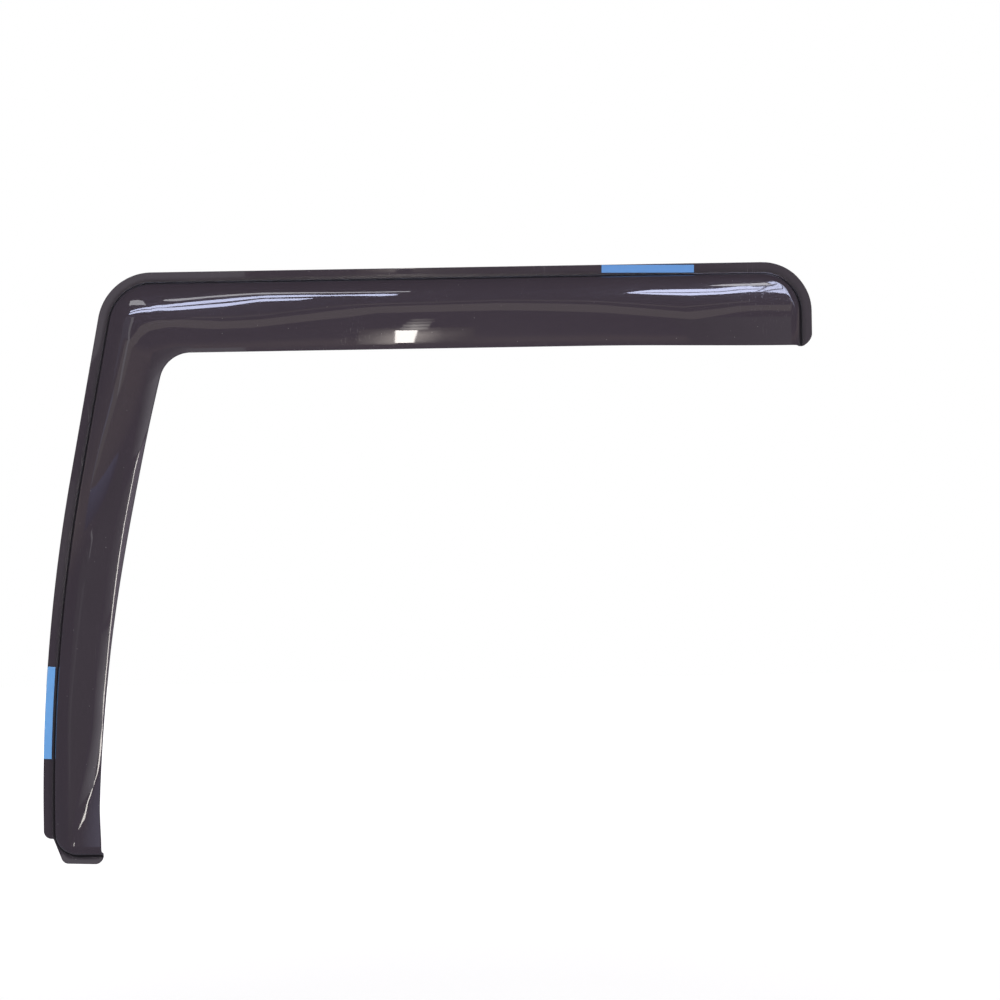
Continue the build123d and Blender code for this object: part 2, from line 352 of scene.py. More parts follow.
def rounded(points, radii, step):
    """Polyline with each inner corner replaced by an arc of its radius, dense to the given step."""
    arc_count = 24
    points = np.asarray(points, dtype=float)
    laid = [points[:1]]
    for before, corner, after, radius in zip(points[:-2], points[1:-1], points[2:], radii):
        back = (before - corner) / np.hypot(*(before - corner))
        ahead = (after - corner) / np.hypot(*(after - corner))
        half = np.arccos(np.clip(back @ ahead, -1, 1)) / 2
        middle = (back + ahead) / np.hypot(*(back + ahead))
        centre = corner + middle * radius / sin(half)
        first = corner + back * radius / tan(half) - centre
        last = corner + ahead * radius / tan(half) - centre
        start = atan2(first[1], first[0])
        turn = (atan2(last[1], last[0]) - start + pi) % (2 * pi) - pi
        laid.append(circle(centre, radius, np.linspace(start, start + turn, arc_count)))
    path = np.concatenate(laid + [points[-1:]])
    count = int(np.hypot(*np.diff(path, axis=0).T).sum() / step)
    return spaced(path, count)


def lower_outline(p, inset):
    """Cut edge round the lower end, from the side flange past the notch to the lip's free side."""
    size = p.size
    lead, step = 0.030, 0.0001
    stop_z = p.lip_z + size.stop
    notch_x = p.foot_x + size.flange - size.lip_sliver
    rise = p.lip_z + lead
    path = rounded([
        (p.foot_x, stop_z + lead),
        (p.foot_x, stop_z),
        (notch_x, stop_z),
        (notch_x + size.lip_inset, p.lip_z + size.lip_rise),
        p.lip_right,
        (free_x(p, rise), rise),
    ], (size.stop_corner, size.notch, size.lip_left, size.lip_right), step)
    return path + inset * left_normals(path)


def crease_columns(p, counts):
    """Columns of the rim along the crease: foot, inward normal, flange reach and free-side slide.

    The crease runs up the rear end, round its corner, along the top, round the bend, down the
    front arm and round the lower corner to the free edge. The last result counts the columns
    round the lower corner.
    """
    size = p.size
    rows, corner, top, bend, front = counts
    edge = size.edge
    crease_x = p.foot_x + size.flange
    bow_count, cut_stride = 200, 9
    angle_margin, lip_margin, least_flat = 0.002, 0.001, 0.00015

    # Rear end, whose flange follows the rounded foot of the outline
    up = p.end_centre[1] + (p.free_z + edge - p.end_centre[1]) * cross_steps(rows)[::-1]
    end_reach = size.end_foot - edge
    over = np.clip(p.free_z + size.end_foot - up, 0, end_reach)
    end_out = size.flange - size.end_foot + np.sqrt(end_reach**2 - over**2)
    end = np.stack((np.full_like(up, p.half - size.flange), up), axis=-1)

    # Rear corner, top, bend and front arm, with the flange at its full width
    turn = np.linspace(0, pi / 2, corner + 1)[1:]
    end_arc = circle(p.end_centre, size.end_corner - size.flange, turn)
    along = np.linspace(p.end_centre[0], p.bend_centre[0], top + 1)[1:]
    top_run = level_points(along, p.top_z - size.flange)
    bend_turn = np.linspace(pi / 2, pi - size.lean, bend + 1)[1:]
    bend_arc = circle(p.bend_centre, size.front_corner - size.flange, bend_turn)
    bow = circle(p.bow_centre, p.bow - size.flange, np.linspace(pi - size.lean, pi, bow_count))
    front_path = np.concatenate((bend_arc[-1:], bow, [(crease_x, p.low_centre[1])]))
    front_run = spaced(front_path, front + 1)[1:]
    front_inward = left_normals(np.concatenate((bend_arc[-1:], front_run)))[1:]

    # Lower corner, with a column at each stride of the cut edge, seen from the corner's centre
    cut = lower_outline(p, edge)
    away = cut - p.low_centre
    seen = np.arctan2(away[:, 1], away[:, 0]) % (2 * pi)
    inside = (seen > pi + angle_margin) & (seen < 1.5 * pi - angle_margin) & (away[:, 1] < 0)
    low_turn = np.concatenate((seen[inside][::cut_stride], [1.5 * pi]))
    order = np.argsort(seen)
    low_out = np.interp(low_turn, seen[order], np.hypot(*away.T)[order]) - size.lower_crease
    low_arc = circle(p.low_centre, size.lower_crease, low_turn)

    # Lower end wall, with the lip below it
    sigma = cross_steps(rows)[1:]
    low_x = p.low_centre[0] + sigma * (free_x(p, p.low_z, edge) - p.low_centre[0])
    bottom = cut[(away[:, 0] >= -lip_margin) & (cut[:, 1] < p.low_z)]
    lip_out = p.low_z - np.interp(low_x, bottom[:, 0], bottom[:, 1])
    low_run = level_points(low_x, p.low_z)

    feet = np.concatenate((end, end_arc, top_run, bend_arc, front_run, low_arc, low_run))
    inward = np.concatenate((
        np.tile((-1.0, 0.0), (len(end), 1)),
        -heading(turn),
        np.tile((0.0, -1.0), (top, 1)),
        -heading(bend_turn),
        front_inward,
        -heading(low_turn),
        np.tile((0.0, 1.0), (rows, 1)),
    ))
    full = np.full(corner + top + bend + front, size.flange - edge)
    least = size.crease * (1 / cos(size.draft) - p.draft_tan) + least_flat
    reach = np.maximum(np.concatenate((end_out, full, low_out, lip_out)), least)
    slide = np.concatenate((np.zeros(len(feet) - rows), sigma))
    return feet, inward, reach, slide, len(low_turn)


def rim_profile(p, lines, feet, inward, reach, band):
    """Rim section of every column: distance d from the crease and height v, flange to crowned face.

    A flat flange, a concave crease arc, the drafted wall, a convex ridge arc that touches the
    wall and the crowned face, and the face itself up to the band's width. The ridge arc's
    centre lies where the face and the wall, each moved inwards by the radius, cross. The
    third result is a mask of painted shade in the crease: how deep in the crease each row lies, from nought
    to one.
    """
    size = p.size
    draft, radius = size.draft, size.ridge
    probe_past, probe_count, hold_width = 0.012, 160, 0.00025
    pit_rows, ridge_rows, face_rows = 6, 10, 8

    def on_face(distance):
        """Heights of the crowned face at distances inwards from each foot."""
        return roof_height(p, lines, feet[:, None, :] + inward[:, None, :] * distance[..., None])

    probe = np.linspace(0, band + probe_past, probe_count)
    face = on_face(probe[None])
    slope = np.gradient(face, probe, axis=1)
    norm = np.sqrt(1 + slope**2)
    centre_d = probe + radius * slope / norm
    centre_v = face - radius / norm
    clear = centre_d - ((centre_v - size.sheet) * p.draft_tan + radius / cos(draft))
    hit = np.argmax(clear > 0, axis=1)
    pick = np.arange(len(feet))
    share_hit = clear[pick, hit - 1] / (clear[pick, hit - 1] - clear[pick, hit])

    def at(values):
        """Values at the ridge arc's centre, between the two probes that enclose it."""
        return values[pick, hit - 1] + share_hit * (values[pick, hit] - values[pick, hit - 1])

    touch = probe[hit - 1] + share_hit * (probe[hit] - probe[hit - 1])
    ball_d, ball_v, tip = at(centre_d), at(centre_v), np.arctan(at(slope))
    pit_d = size.crease * (p.draft_tan - 1 / cos(draft))
    pit_v = size.sheet + size.crease

    flat = (reach + pit_d)[:, None]
    hold = np.minimum(hold_width, 0.3 * flat)
    flange_d = -reach[:, None] + np.concatenate((0 * flat, hold, flat / 2, flat - hold), axis=1)
    flange_v = np.full_like(flange_d, size.sheet)
    pit = np.linspace(-pi / 2, -draft, pit_rows)
    pit_run = np.tile(pit_d + size.crease * np.cos(pit), (len(feet), 1))
    pit_rise = np.tile(pit_v + size.crease * np.sin(pit), (len(feet), 1))
    turn = draft + np.linspace(0, 1, ridge_rows) * (pi / 2 - tip - draft)[:, None]
    ridge_d = ball_d[:, None] - radius * np.cos(turn)
    ridge_v = ball_v[:, None] + radius * np.sin(turn)
    wall = np.array((0.33, 0.67))
    wall_d = pit_run[:, -1:] + wall * (ridge_d[:, :1] - pit_run[:, -1:])
    wall_v = pit_rise[:, -1:] + wall * (ridge_v[:, :1] - pit_rise[:, -1:])
    on = np.linspace(0, 1, face_rows)[1:]
    face_d = touch[:, None] + on * (band - touch)[:, None]
    d = np.concatenate((flange_d, pit_run, wall_d, ridge_d, face_d), axis=1)
    v = np.concatenate((flange_v, pit_rise, wall_v, ridge_v, on_face(face_d)), axis=1)
    # Painted shade: darkening mask, full on the crease arc and the wall, half at the flange's last row,
    # fading over the ridge's first rows
    depth = np.concatenate((np.zeros(3), (0.5,), np.ones(8), (1.0, 0.8, 0.45, 0.15), np.zeros(13)))
    return d, v, np.tile(depth, (len(feet), 1))


def vertex_normals(points, quads):
    """Unit normals: each quad's diagonals crossed give its area vector, which is added at its corners."""
    a, b, c, d = (points[corner] for corner in quads.T)
    area = np.cross(c - a, d - b)
    total = np.zeros_like(points)
    for corner in quads.T:
        np.add.at(total, corner, area)
    return total / np.linalg.norm(total, axis=1)[:, None]


def grid_quads(index):
    """Quads of a grid of vertex numbers, two rows and two columns at a time."""
    corners = (index[:-1, :-1], index[1:, :-1], index[1:, 1:], index[:-1, 1:])
    return np.stack(corners, axis=-1).reshape(-1, 4)


def settled(p, points):
    """Sheet as it left the mould: the free edge sags at the rear end and is drawn in above the lip.

    Each shift grows evenly from nought at the crease to its full size at the free edge. The
    sag eases in along the top arm; the waist eases in down the front arm and out at the lip.
    """
    size = p.size
    waist_top, waist_run = -0.20, 0.22
    waist_foot, foot_run = -0.62, 0.055
    x, _, z = points.T
    rear = p.half - size.flange
    below = np.clip((p.top_z - size.flange - z) / (size.top_depth - size.flange), 0, 1)
    sag = ease((x - rear) / size.sag_run + 1) * (1 - ease((x - rear) / size.flange)) * below
    crease_x = p.bow_centre[0] - np.sqrt((p.bow - size.flange) ** 2 - (z - p.bow_centre[1]) ** 2)
    beside = np.clip((x - crease_x) / (free_x(p, z) - crease_x), 0, 1)
    drawn = ease((waist_top - z) / waist_run) * ease((z - waist_foot) / foot_run) * beside
    return points - np.stack((size.waist * drawn, np.zeros_like(x), size.rear_sag * sag), axis=1)


def polished_run(p, feet):
    """Share of polish along the crease: it eases in on the top arm and out at the rear corner."""
    start, start_run = 0.225, 0.03
    stop, stop_run = 0.35, 0.015
    x, z = feet.T
    return ease((x - start) / start_run) * (1 - ease((x - stop) / stop_run)) * (z > p.end_centre[1])


def front_skin(p):
    """Front face of the formed sheet: points, quads, outline loop and two masks of the crease, one of painted
    shade and one of polish.

    A rim is carried along the crease, and a patch is ruled from the rim's inner line to the
    free edge. The patch shares its first and last column with the rim's two ends.
    """
    size = p.size
    lines = section_lines(p)
    rows, corner, top, bend, front = counts = (24, 18, 230, 40, 210)
    band = 0.018
    feet, inward, reach, slide, low = crease_columns(p, counts)
    d, v, crease = rim_profile(p, lines, feet, inward, reach, band)
    rim = feet[:, None, :] + inward[:, None, :] * d[..., None]

    # Columns of the lower end slide along the free edge, and keep to the crowned face
    shift = slide[:, None] * (free_x(p, p.low_z + d, size.edge) - free_x(p, p.low_z, size.edge))
    slid = slide > 0
    level = roof_height(p, lines, rim[slid])
    rim[..., 0] += np.where(d > 0, shift, 0)
    v[slid] += ease(d[slid] / band) * (roof_height(p, lines, rim[slid]) - level)

    # Patch between the rim's inner line and the free edge
    upper = rim[rows:len(feet) - rows, -1]
    span = len(upper)
    edge_z = p.free_z + size.edge
    along = np.linspace(p.end_centre[0], p.free_bend_centre[0], top + 1)[1:]
    fan = np.linspace(pi / 2, p.free_bend_angle % (2 * pi), bend + 1)[1:]
    bend_part = circle(p.free_bend_centre, size.free_corner + size.edge, fan)
    front_z = np.linspace(bend_part[-1, 1], p.low_centre[1], front + 1)[1:]
    low_z = np.linspace(front_z[-1], upper[-1, 1], low + 1)[1:]
    down_z = np.concatenate((front_z, low_z))
    free = np.concatenate((
        level_points(upper[:corner + 1, 0], edge_z),
        level_points(along, edge_z),
        bend_part,
        np.stack((free_x(p, down_z, size.edge), down_z), axis=-1),
    ))
    patch = upper[:, None, :] + (free - upper)[:, None, :] * cross_steps(rows)[None, :, None]
    patch_v = roof_height(p, lines, patch)

    columns, depth = d.shape
    rim_index = np.arange(columns * depth).reshape(columns, depth)
    patch_index = np.empty((span, rows + 1), dtype=int)
    patch_index[0] = rim_index[rows::-1, -1]
    patch_index[-1] = rim_index[columns - rows - 1:, -1]
    patch_index[:, 0] = rim_index[rows:columns - rows, -1]
    free_count = (span - 2) * rows
    patch_index[1:-1, 1:] = columns * depth + np.arange(free_count).reshape(span - 2, rows)
    plan = np.concatenate((rim.reshape(-1, 2), patch[1:-1, 1:].reshape(-1, 2)))
    height = np.concatenate((v.ravel(), patch_v[1:-1, 1:].ravel()))
    skin = np.stack((plan[:, 0], -height, plan[:, 1]), axis=1)
    quads = np.concatenate((grid_quads(rim_index), grid_quads(patch_index)))
    loop = np.concatenate((
        rim_index[:, 0],
        rim_index[-1, 1:],
        patch_index[-2:0:-1, -1],
        rim_index[0, :0:-1],
    ))

    # Rows 4 to 9 of the rim are the crease arc; polish takes five of them and clears three of the painted
    # shade
    run = polished_run(p, feet)[:, None]
    crease[:, 4:7] *= 1 - run
    polish = np.zeros_like(crease)
    polish[:, 4:9] = run
    return skin, quads, loop, {"crease": crease.ravel(), "polish": polish.ravel()}


def visor_surface(size):
    """Closed mesh of the formed sheet: front skin, rear skin behind it and rounded cut edge.

    The rear skin lies one sheet thickness along the normals, and the cut edge is a half-round
    carried along the outline. Masks mark the crease's painted shade, a polished run of the crease and the cut
    edge.
    """
    p = visor_plan(size)
    skin, quads, loop, masks = front_skin(p)
    normals = vertex_normals(skin, quads)
    if normals[:, 1].mean() > 0:
        normals = -normals

    # Outward direction of the outline in the plan, and the sheet's own square to it
    ring = skin[loop]
    run = np.roll(ring, -1, axis=0) - np.roll(ring, 1, axis=0)
    out = np.stack((run[:, 2], np.zeros(len(loop)), -run[:, 0]), axis=1)
    out /= np.linalg.norm(out, axis=1)[:, None]
    next_ring = np.roll(ring, -1, axis=0)
    out *= np.sign((ring[:, 0] * next_ring[:, 2] - ring[:, 2] * next_ring[:, 0]).sum())
    across = normals[loop] - (normals[loop] * out).sum(axis=1)[:, None] * out
    across /= np.linalg.norm(across, axis=1)[:, None]
    normals[loop] = across

    # Half-round rings, a hair smaller than the edge so that they stay inside the CAD outline
    hair = 0.00001
    back = skin - size.sheet * normals
    count = len(skin)
    turn = np.radians((30, 60, 90))
    radius = size.edge - hair
    rings = [ring + radius * (out * sin(a) - across * (1 - cos(a))) for a in turn]
    rings += [back[loop] + radius * (out * sin(a) + across * (1 - cos(a))) for a in turn[::-1]]
    points = settled(p, np.concatenate([skin, back] + rings))
    ring_index = 2 * count + np.arange(6 * len(loop)).reshape(6, len(loop))
    belt = np.concatenate((loop[None], ring_index, loop[None] + count))
    belt = np.concatenate((belt, belt[:, :1]), axis=1)
    faces = np.concatenate((quads, quads[:, ::-1] + count, grid_quads(belt)))
    masks = {key: np.pad(values, (0, len(points) - len(values))) for key, values in masks.items()}
    masks["cut"] = np.arange(len(points)) >= 2 * count
    return points, faces, masks


def strip_surface(path, across, width, base, thickness, bevel):
    """Closed strip: a rounded rectangle carried along a path in the plan, its ends closed by rings.

    The section is a rectangle of the strip's width and thickness with bevelled corners; at
    each end it is drawn in by the bevel, and a flat cap closes it.
    """
    half = width / 2
    section = np.array((
        (-half, bevel), (-half, thickness - bevel), (-half + bevel, thickness),
        (half - bevel, thickness), (half, thickness - bevel), (half, bevel),
        (half - bevel, 0), (-half + bevel, 0),
    ))
    ahead = np.gradient(path, axis=0)
    ahead /= np.hypot(*ahead.T)[:, None]
    middle = np.array((0, thickness / 2))
    drawn = middle + (section - middle) * ((half - bevel) / half, 1 - 2 * bevel / thickness)
    stations = np.concatenate((path[:1] - bevel * ahead[:1], path, path[-1:] + bevel * ahead[-1:]))
    sides = np.concatenate((across[:1], across, across[-1:]))
    shapes = np.concatenate((drawn[None], np.tile(section, (len(path), 1, 1)), drawn[None]))
    plan = stations[:, None, :] + sides[:, None, :] * shapes[..., :1]
    points = np.stack((plan[..., 0], -(base + shapes[..., 1]), plan[..., 1]), axis=-1).reshape(-1, 3)
    index = np.arange(len(points)).reshape(len(stations), 8)
    wrapped = np.concatenate((index, index[:, :1]), axis=1)
    caps = np.concatenate((cap_quads(index[0]), cap_quads(index[-1])[:, ::-1]))
    return points, np.concatenate((grid_quads(wrapped), caps))


def cap_quads(ring):
    """Three quads that close a ring of eight vertices."""
    return ring[np.array(((0, 1, 6, 7), (1, 2, 5, 6), (2, 3, 4, 5)))]


def tape_paths(size):
    """Middle lines of the two tape strips and their sideways directions in the plan."""
    p = visor_plan(size)
    count = 41
    half = size.tape_length / 2
    along = np.linspace(-half, half, count)
    fall = half * sin(abs(size.tape_turn))
    middle = p.top_z - size.tape_gap - fall - size.tape_width / 2
    ahead = heading(size.tape_turn)
    top = np.array((size.tape_place, middle)) + along[:, None] * ahead
    top_side = np.tile((-ahead[1], ahead[0]), (count, 1))
    radius = p.bow - size.tape_gap - size.tape_width / 2
    rise = np.arcsin((p.top_z - size.tape_drop - p.bow_centre[1]) / p.bow)
    span = size.tape_length / p.bow
    turn = np.linspace(pi - rise - span / 2, pi - rise + span / 2, count)
    return {"top": (top, top_side), "front": (circle(p.bow_centre, radius, turn), heading(turn))}


def place_object(name, data):
    """New object at the origin, linked to the scene."""
    made = bpy.data.objects.new(name, data)
    bpy.context.scene.collection.objects.link(made)
    return made


def add_piece(name, points, faces, material, smooth=True, masks=None):
    """Puts points, quads and point masks into a new mesh object at the origin, faces outwards."""
    a, b, c, d = (points[corner] for corner in faces.T)
    volume = np.einsum("ij,ij->", a, np.cross(b, c)) + np.einsum("ij,ij->", a, np.cross(c, d))
    if volume < 0:
        faces = faces[:, ::-1]
    mesh = bpy.data.meshes.new(name)
    mesh.vertices.add(len(points))
    mesh.vertices.foreach_set("co", points.astype(np.float32).ravel())
    mesh.loops.add(faces.size)
    mesh.loops.foreach_set("vertex_index", faces.astype(np.int32).ravel())
    mesh.polygons.add(len(faces))
    mesh.polygons.foreach_set("loop_start", np.arange(0, faces.size, 4, dtype=np.int32))
    mesh.polygons.foreach_set("use_smooth", np.full(len(faces), smooth))
    mesh.update(calc_edges=True)
    if mesh.validate():
        raise RuntimeError(f"{name}: the mesh had faults")
    for key, values in (masks or {}).items():
        add_mask(mesh, key, values)
    mesh.materials.append(material)
    piece = place_object(name, mesh)
    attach(piece, "root")
    return piece


def add_mask(mesh, key, values):
    """Point attribute that a material reads."""
    mask = mesh.attributes.new(key, "FLOAT", "POINT")
    mask.data.foreach_set("value", np.ascontiguousarray(values, dtype=np.float32))


def first_of(tree, kind):
    """First node of a type in a tree."""
    return next(item for item in tree.nodes if item.type == kind)


def feed(tree, made, inputs):
    """Gives a node's inputs their plain values, or links them to the outputs of other nodes."""
    for key, value in inputs.items():
        if isinstance(value, bpy.types.NodeSocket):
            tree.links.new(value, made.inputs[key])
        else:
            made.inputs[key].default_value = value


def new_material(name, inputs):
    """New node material, its tree and its Principled shader with the given inputs."""
    material = bpy.data.materials.new(name)
    material.use_nodes = True
    tree = material.node_tree
    shader = first_of(tree, "BSDF_PRINCIPLED")
    feed(tree, shader, inputs)
    return material, tree, shader


def node(tree, kind, inputs=None, **settings):
    """New node of a kind; its settings are made before its inputs are fed."""
    made = tree.nodes.new("ShaderNode" + kind)
    for key, value in settings.items():
        setattr(made, key, value)
    feed(tree, made, inputs or {})
    return made


def maths(tree, operation, first, second):
    """Result of an operation on two values."""
    return node(tree, "Math", {0: first, 1: second}, operation=operation).outputs["Value"]


def mapped(tree, value, source=(0.0, 1.0), target=(0.0, 1.0)):
    """Value carried from one range to another, and held at its ends."""
    ends = dict(zip(("From Min", "From Max", "To Min", "To Max"), (*source, *target)))
    return node(tree, "MapRange", {"Value": value, **ends}).outputs["Result"]


def mixed(tree, share, first, second, kind="RGBA"):
    """Colour, or plain value, between two others."""
    return node(tree, "Mix", {"Factor": share, "A": first, "B": second}, data_type=kind).outputs["Result"]


def tone(rgb, level=1.0):
    """Colour at a level, with the fourth channel that a socket takes."""
    return (*(np.array(rgb[:]) * level), 1)


def marks_group():
    """Node group of fine handling marks, built once: thin lines and specks of dust.

    The lines are stretched noise cut to thin lines and broken up by a larger noise. The
    specks are the middles of a few Voronoi cells.
    """
    tree = bpy.data.node_groups.get("Handling_Marks")
    if tree:
        return tree
    tree = bpy.data.node_groups.new("Handling_Marks", "ShaderNodeTree")
    for key, way, kind in (
        ("Vector", "INPUT", "Vector"), ("Amount", "INPUT", "Float"),
        ("Lines", "OUTPUT", "Float"), ("Specks", "OUTPUT", "Float"),
    ):
        tree.interface.new_socket(key, in_out=way, socket_type="NodeSocket" + kind)
    inlet = tree.nodes.new("NodeGroupInput").outputs
    outlet = tree.nodes.new("NodeGroupOutput")
    where, amount = inlet["Vector"], inlet["Amount"]
    cuts = []
    for turn, stretch in ((0.35, (900, 900, 22)), (-0.8, (1100, 1100, 30))):
        mapping = node(tree, "Mapping", {"Vector": where, "Rotation": (0, turn, 0), "Scale": stretch})
        noise = node(tree, "TexNoise", {"Vector": mapping.outputs["Vector"], "Scale": 1.0, "Detail": 1.0})
        cuts.append(mapped(tree, noise.outputs["Fac"], (0.68, 0.74)))
    lines = maths(tree, "MAXIMUM", *cuts)
    patches = node(tree, "TexNoise", {"Vector": where, "Scale": 18.0, "Detail": 2.0})
    kept = maths(tree, "MULTIPLY", lines, mapped(tree, patches.outputs["Fac"], (0.52, 0.68)))
    cells = node(tree, "TexVoronoi", {"Vector": where, "Scale": 240.0})
    chance = node(tree, "SeparateColor", {"Color": cells.outputs["Color"]}).outputs["Red"]
    rare = maths(tree, "GREATER_THAN", chance, 0.93)
    specks = maths(tree, "MULTIPLY", mapped(tree, cells.outputs["Distance"], (0.10, 0.05)), rare)
    feed(tree, outlet, {
        "Lines": maths(tree, "MULTIPLY", kept, amount),
        "Specks": maths(tree, "MULTIPLY", specks, amount),
    })
    return tree


def place_marks(tree, amount):
    """Handling marks on Object coordinates: the coordinates, the lines and the specks."""
    where = node(tree, "TexCoord").outputs["Object"]
    marks = node(tree, "Group", node_tree=marks_group())
    feed(tree, marks, {"Vector": where, "Amount": amount})
    return where, marks.outputs["Lines"], marks.outputs["Specks"]


def smoked_acrylic(looks):
    """Dark glossy acrylic: faint cloudiness in the body, fine scratches, a few specks of dust and painted
    shade darkening the crease.
    """
    material, tree, shader = new_material("smoked_acrylic", {
        "IOR": 1.49, "Coat Weight": 0.10, "Coat Roughness": 0.22, "Coat IOR": 1.4,
    })
    where, lines, specks = place_marks(tree, 0.8)
    masks = ("crease", "cut", "polish")
    crease, cut, polish = (node(tree, "Attribute", attribute_name=key).outputs["Fac"] for key in masks)
    cloud = node(tree, "TexNoise", {"Vector": where, "Scale": 9.0, "Detail": 3.0}).outputs["Fac"]
    body = mixed(tree, cloud, tone(looks.smoke, 0.93), tone(looks.smoke, 1.07))
    marked = maths(tree, "MAXIMUM", specks, maths(tree, "MULTIPLY", lines, 0.10))
    dusty = mixed(tree, marked, body, (0.30, 0.29, 0.30, 1))
    dull = mapped(tree, lines, target=(0.015, 0.32))
    for mask, level in ((crease, 0.55), (cut, 0.45), (polish, 0.02)):
        dull = mixed(tree, mask, dull, level, kind="FLOAT")
    # Painted shade: the crease mask darkens the base colour nearly to black along the crease and the wall
    feed(tree, shader, {
        "Base Color": mixed(tree, crease, dusty, tone(looks.smoke, 0.08)),
        "Roughness": dull,
    })
    return material


def foam_tape(looks):
    """Matte closed-cell foam: dark, with a fine cell pattern in colour and surface."""
    material, tree, shader = new_material("foam_tape", {"Roughness": 0.85})
    where = node(tree, "TexCoord").outputs["Object"]
    cells = node(tree, "TexVoronoi", {"Vector": where, "Scale": 4200.0}).outputs["Distance"]
    bump = node(tree, "Bump", {"Strength": 0.4, "Distance": 0.0001, "Height": cells})
    feed(tree, shader, {
        "Base Color": mixed(tree, cells, tone(looks.foam, 0.7), tone(looks.foam, 1.4)),
        "Normal": bump.outputs["Normal"],
    })
    return material


def release_film(looks):
    """Blue satin film with painted light, paler low down: slight unevenness of tone, soft ripples and
    handling marks.
    """
    material, tree, shader = new_material("release_film", {"IOR": 1.5})
    where, lines, _ = place_marks(tree, 0.5)
    uneven = node(tree, "TexNoise", {"Vector": where, "Scale": 60.0, "Detail": 2.0}).outputs["Fac"]
    height = node(tree, "SeparateXYZ", {"Vector": where}).outputs["Z"]
    # Painted light: one film, darker on the top strip and painted paler on the front strip, by height
    blue = mixed(tree, mapped(tree, height, (-0.1, -0.4)), tone(looks.film), tone(looks.film_painted_lighter))
    level = mapped(tree, uneven, target=(0.95, 1.05))
    shade = node(tree, "VectorMath", {0: blue, "Scale": level}, operation="SCALE")
    ripple = node(tree, "Bump", {"Strength": 0.08, "Distance": 0.0002, "Height": uneven})
    feed(tree, shader, {
        "Base Color": shade.outputs["Vector"],
        "Roughness": mapped(tree, lines, target=(0.42, 0.60)),
        "Normal": ripple.outputs["Normal"],
    })
    return material


class DEFLECTOR_OT_visor(Operator):
    """Build the formed sheet of smoked acrylic"""

    bl_idname = "deflector.visor"
    bl_label = "Visor panel"

    def execute(self, context):
        scene = context.scene
        points, faces, masks = visor_surface(scene.deflector_sizes)
        acrylic = smoked_acrylic(scene.deflector_looks)
        piece = add_piece("formed_visor", points, faces, acrylic, masks=masks)
        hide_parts("visor_panel")
        return {"FINISHED"}


class DEFLECTOR_OT_tapes(Operator):
    """Build the two foam strips and their release films"""

    bl_idname = "deflector.tapes"
    bl_label = "Tape strips"

    def execute(self, context):
        scene = context.scene
        size = scene.deflector_sizes
        foam = foam_tape(scene.deflector_looks)
        film = release_film(scene.deflector_looks)
        foam_bevel, film_bevel = 0.0001, 0.00003
        for place, (path, across) in tape_paths(size).items():
            for name, cad, slot, material, base, thickness, bevel in (
                (f"{place}_foam_strip", f"{place}_tape", "foam_tape", foam,
                 size.sheet, size.tape, foam_bevel),
                (f"{place}_peel_film", f"{place}_tape_film", "release_film", film,
                 size.sheet + size.tape, size.film, film_bevel),
            ):
                points, faces = strip_surface(path, across, size.tape_width, base, thickness, bevel)
                piece = add_piece(name, points, faces, material, smooth=False)
                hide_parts(cad)
        return {"FINISHED"}


def add_lamp(name, place, target, size, radiance, tint):
    """Area lamp of even radiance, facing its target and unseen by the camera."""
    lamp = bpy.data.lights.new(name, "AREA")
    lamp.shape = "RECTANGLE"
    lamp.size, lamp.size_y = size
    lamp.energy = radiance * pi * size[0] * size[1]
    lamp.color = tint
    body = place_object(name, lamp)
    body.location = place
    body.rotation_euler = (Vector(target) - Vector(place)).to_track_quat("-Z", "Y").to_euler()
    body.visible_camera = False
    return body


def add_card(name, spine, radiance, tint, depth=2.0, upright=False, fade=(1.0, 1.0)):
    """Glowing studio card: a ribbon between two edges, straight from each spine point to the next.

    A spine point is (x, lower z, upper z), or (z, left x, right x) for an upright ribbon. The
    card stands at a depth in front of the flange, its glow passes from one edge's share of the
    radiance to the other's, given once or at every spine point, and the camera doesn't see it.
    """
    along, first, last = np.asarray(spine, dtype=float).T
    depths = np.full_like(along, -depth)
    if upright:
        edges = np.array(((first, depths, along), (last, depths, along)))
    else:
        edges = np.array(((along, depths, first), (along, depths, last)))
    card = add_flat(name, edges.transpose(0, 2, 1))
    add_mask(card.data, "glow", np.broadcast_to(fade, (len(along), 2)).T.ravel())
    material, tree, shader = new_material(name, {})
    share_here = node(tree, "Attribute", attribute_name="glow").outputs["Fac"]
    strength = maths(tree, "MULTIPLY", share_here, radiance)
    glow = node(tree, "Emission", {"Color": tone(tint), "Strength": strength})
    feed(tree, first_of(tree, "OUTPUT_MATERIAL"), {"Surface": glow.outputs["Emission"]})
    tree.nodes.remove(shader)
    card.data.materials.append(material)
    card.visible_camera = False
    card.visible_diffuse = False
    card.visible_shadow = False


def add_flat(name, points):
    """Open surface of the stage from a grid of points."""
    index = np.arange(points.shape[0] * points.shape[1]).reshape(points.shape[:2])
    mesh = bpy.data.meshes.new(name)
    mesh.from_pydata(points.reshape(-1, 3).tolist(), [], grid_quads(index).tolist())
    return place_object(name, mesh)


